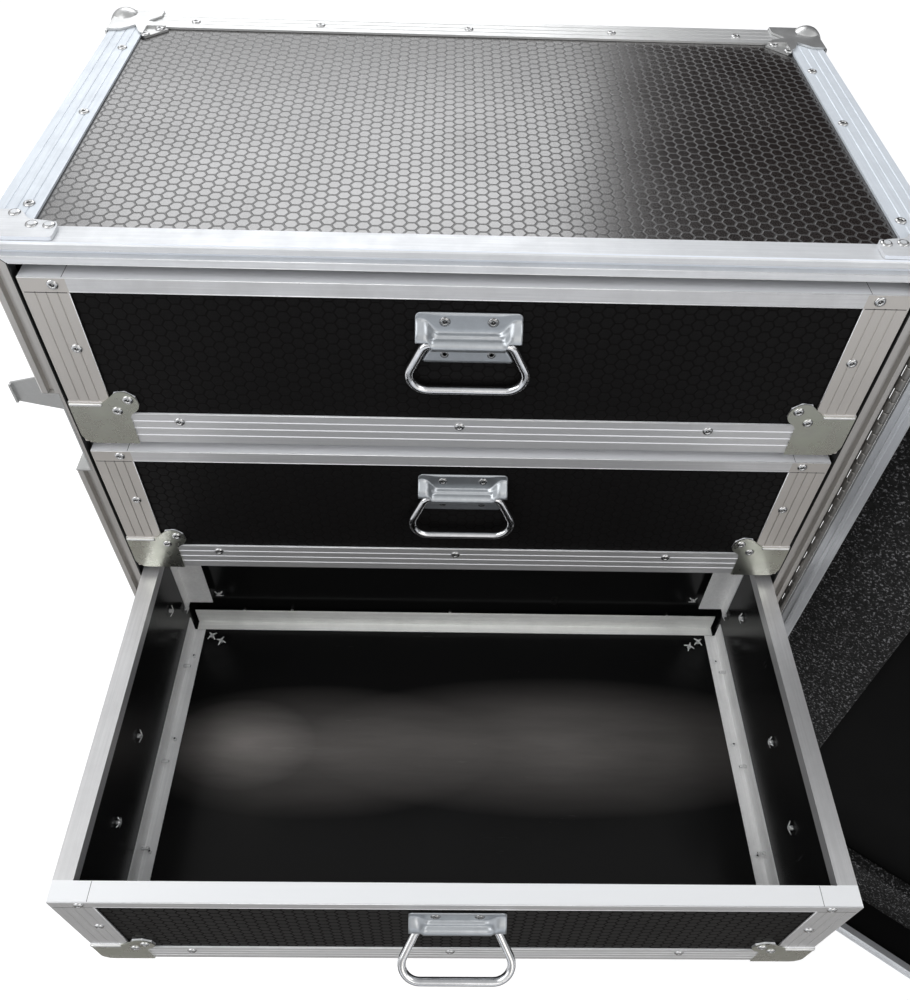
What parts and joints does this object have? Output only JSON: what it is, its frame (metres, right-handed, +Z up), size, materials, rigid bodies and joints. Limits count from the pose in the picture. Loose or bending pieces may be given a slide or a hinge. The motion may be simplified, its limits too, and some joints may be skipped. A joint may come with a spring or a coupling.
{
  "type": "road case with drawers",
  "caption": "Upright road case with a side-hinged front door, recessed latches, ball corners and a stack of pull-out drawers with bail handles.",
  "frame": {"origin": "middle of the bottom panel's underside", "axes": "+Z up, -Y towards the open mouth and the drawers' pull, +X towards the hinged side"},
  "size_m": [1.4287, 0.8436, 1.115],
  "materials": {
    "hex_board": "dark hexagon-textured film on plywood",
    "extrusion": "satin mill finish",
    "zinc_steel": "bright zinc plating",
    "bright_steel": "polished plating",
    "foam": "open-cell foam, dark grey"
  },
  "bodies": {
    "cabinet": {"top_panel": "hex_board", "bottom_panel": "hex_board", "back_panel": "hex_board", "left_panel": "hex_board", "right_panel": "hex_board", "edge_top_left": "extrusion", "edge_top_right": "extrusion", "edge_bottom_left": "extrusion", "edge_bottom_right": "extrusion", "edge_back_left": "extrusion", "edge_back_right": "extrusion", "edge_back_top": "extrusion", "edge_back_bottom": "extrusion", "frame_top": "extrusion", "frame_bottom": "extrusion", "frame_left": "extrusion", "frame_right": "extrusion", "ball_corner_top_left": "zinc_steel", "ball_corner_top_right": "zinc_steel", "ball_corner_bottom_left": "zinc_steel", "ball_corner_bottom_right": "zinc_steel", "latch_dish_upper": "zinc_steel", "latch_dish_lower": "zinc_steel", "hinge_leaf_cabinet": "zinc_steel", "hinge_pin": "zinc_steel"},
    "door": {"door_panel": "hex_board", "door_walls": "hex_board", "door_foam": "foam", "door_frame": "extrusion", "door_edging": "extrusion", "hinge_leaf_door": "zinc_steel"},
    "hook_upper": {"latch_hook_upper": "bright_steel"},
    "hook_lower": {"latch_hook_lower": "bright_steel"},
    "wing_upper": {"latch_wing_upper": "bright_steel"},
    "wing_lower": {"latch_wing_lower": "bright_steel"},
    "drawer_1": {"drawer_1_box": "hex_board", "drawer_1_trim": "extrusion", "drawer_1_angles": "extrusion", "drawer_1_handle_plate": "zinc_steel"},
    "bail_1": {"drawer_1_bail": "bright_steel"},
    "drawer_2": {"drawer_2_box": "hex_board", "drawer_2_trim": "extrusion", "drawer_2_angles": "extrusion", "drawer_2_handle_plate": "zinc_steel"},
    "bail_2": {"drawer_2_bail": "bright_steel"},
    "drawer_3": {"drawer_3_box": "hex_board", "drawer_3_trim": "extrusion", "drawer_3_angles": "extrusion", "drawer_3_handle_plate": "zinc_steel"},
    "bail_3": {"drawer_3_bail": "bright_steel"},
    "drawer_4": {"drawer_4_box": "hex_board", "drawer_4_trim": "extrusion", "drawer_4_angles": "extrusion", "drawer_4_handle_plate": "zinc_steel"},
    "bail_4": {"drawer_4_bail": "bright_steel"},
    "drawer_5": {"drawer_5_box": "hex_board", "drawer_5_trim": "extrusion", "drawer_5_angles": "extrusion", "drawer_5_handle_plate": "zinc_steel"},
    "bail_5": {"drawer_5_bail": "bright_steel"}
  },
  "joints": [
    {"name": "door_swing", "type": "hinge", "parent": "cabinet", "child": "door", "pos_m": [0.3634, -0.209, 0.5477], "axis": [0, 0, 1], "range_deg": [-52, 30]},
    {"name": "hook_upper_swing", "type": "hinge", "parent": "cabinet", "child": "hook_upper", "pos_m": [-0.352, -0.1535, 0.9012], "axis": [0, 0, 1], "range_deg": [-5, 88]},
    {"name": "wing_upper_turn", "type": "hinge", "parent": "hook_upper", "child": "wing_upper", "pos_m": [-0.386, -0.1535, 0.9012], "axis": [0, 1, 0], "range_deg": [0, 180]},
    {"name": "hook_lower_swing", "type": "hinge", "parent": "cabinet", "child": "hook_lower", "pos_m": [-0.352, -0.1535, 0.2627], "axis": [0, 0, 1], "range_deg": [-5, 88]},
    {"name": "wing_lower_turn", "type": "hinge", "parent": "hook_lower", "child": "wing_lower", "pos_m": [-0.386, -0.1535, 0.2627], "axis": [0, 1, 0], "range_deg": [0, 180]},
    {"name": "drawer_1_slide", "type": "slide", "parent": "cabinet", "child": "drawer_1", "axis": [0, -1, 0], "range_m": [0, 0.36]},
    {"name": "bail_1_swing", "type": "hinge", "parent": "drawer_1", "child": "bail_1", "pos_m": [0, -0.2117, 1.0143], "axis": [-1, 0, 0], "range_deg": [0, 90]},
    {"name": "drawer_2_slide", "type": "slide", "parent": "cabinet", "child": "drawer_2", "axis": [0, -1, 0], "range_m": [0, 0.36]},
    {"name": "bail_2_swing", "type": "hinge", "parent": "drawer_2", "child": "bail_2", "pos_m": [0, -0.2117, 0.8263], "axis": [-1, 0, 0], "range_deg": [-8, 82]},
    {"name": "drawer_3_slide", "type": "slide", "parent": "cabinet", "child": "drawer_3", "axis": [0, -1, 0], "range_m": [-0.332, 0.028]},
    {"name": "bail_3_swing", "type": "hinge", "parent": "drawer_3", "child": "bail_3", "pos_m": [0, -0.5437, 0.6383], "axis": [-1, 0, 0], "range_deg": [-45, 45]},
    {"name": "drawer_4_slide", "type": "slide", "parent": "cabinet", "child": "drawer_4", "axis": [0, -1, 0], "range_m": [0, 0.36]},
    {"name": "bail_4_swing", "type": "hinge", "parent": "drawer_4", "child": "bail_4", "pos_m": [0, -0.2117, 0.4503], "axis": [-1, 0, 0], "range_deg": [0, 90]},
    {"name": "drawer_5_slide", "type": "slide", "parent": "cabinet", "child": "drawer_5", "axis": [0, -1, 0], "range_m": [0, 0.36]},
    {"name": "bail_5_swing", "type": "hinge", "parent": "drawer_5", "child": "bail_5", "pos_m": [0, -0.2117, 0.2058], "axis": [-1, 0, 0], "range_deg": [0, 90]}
  ]
}
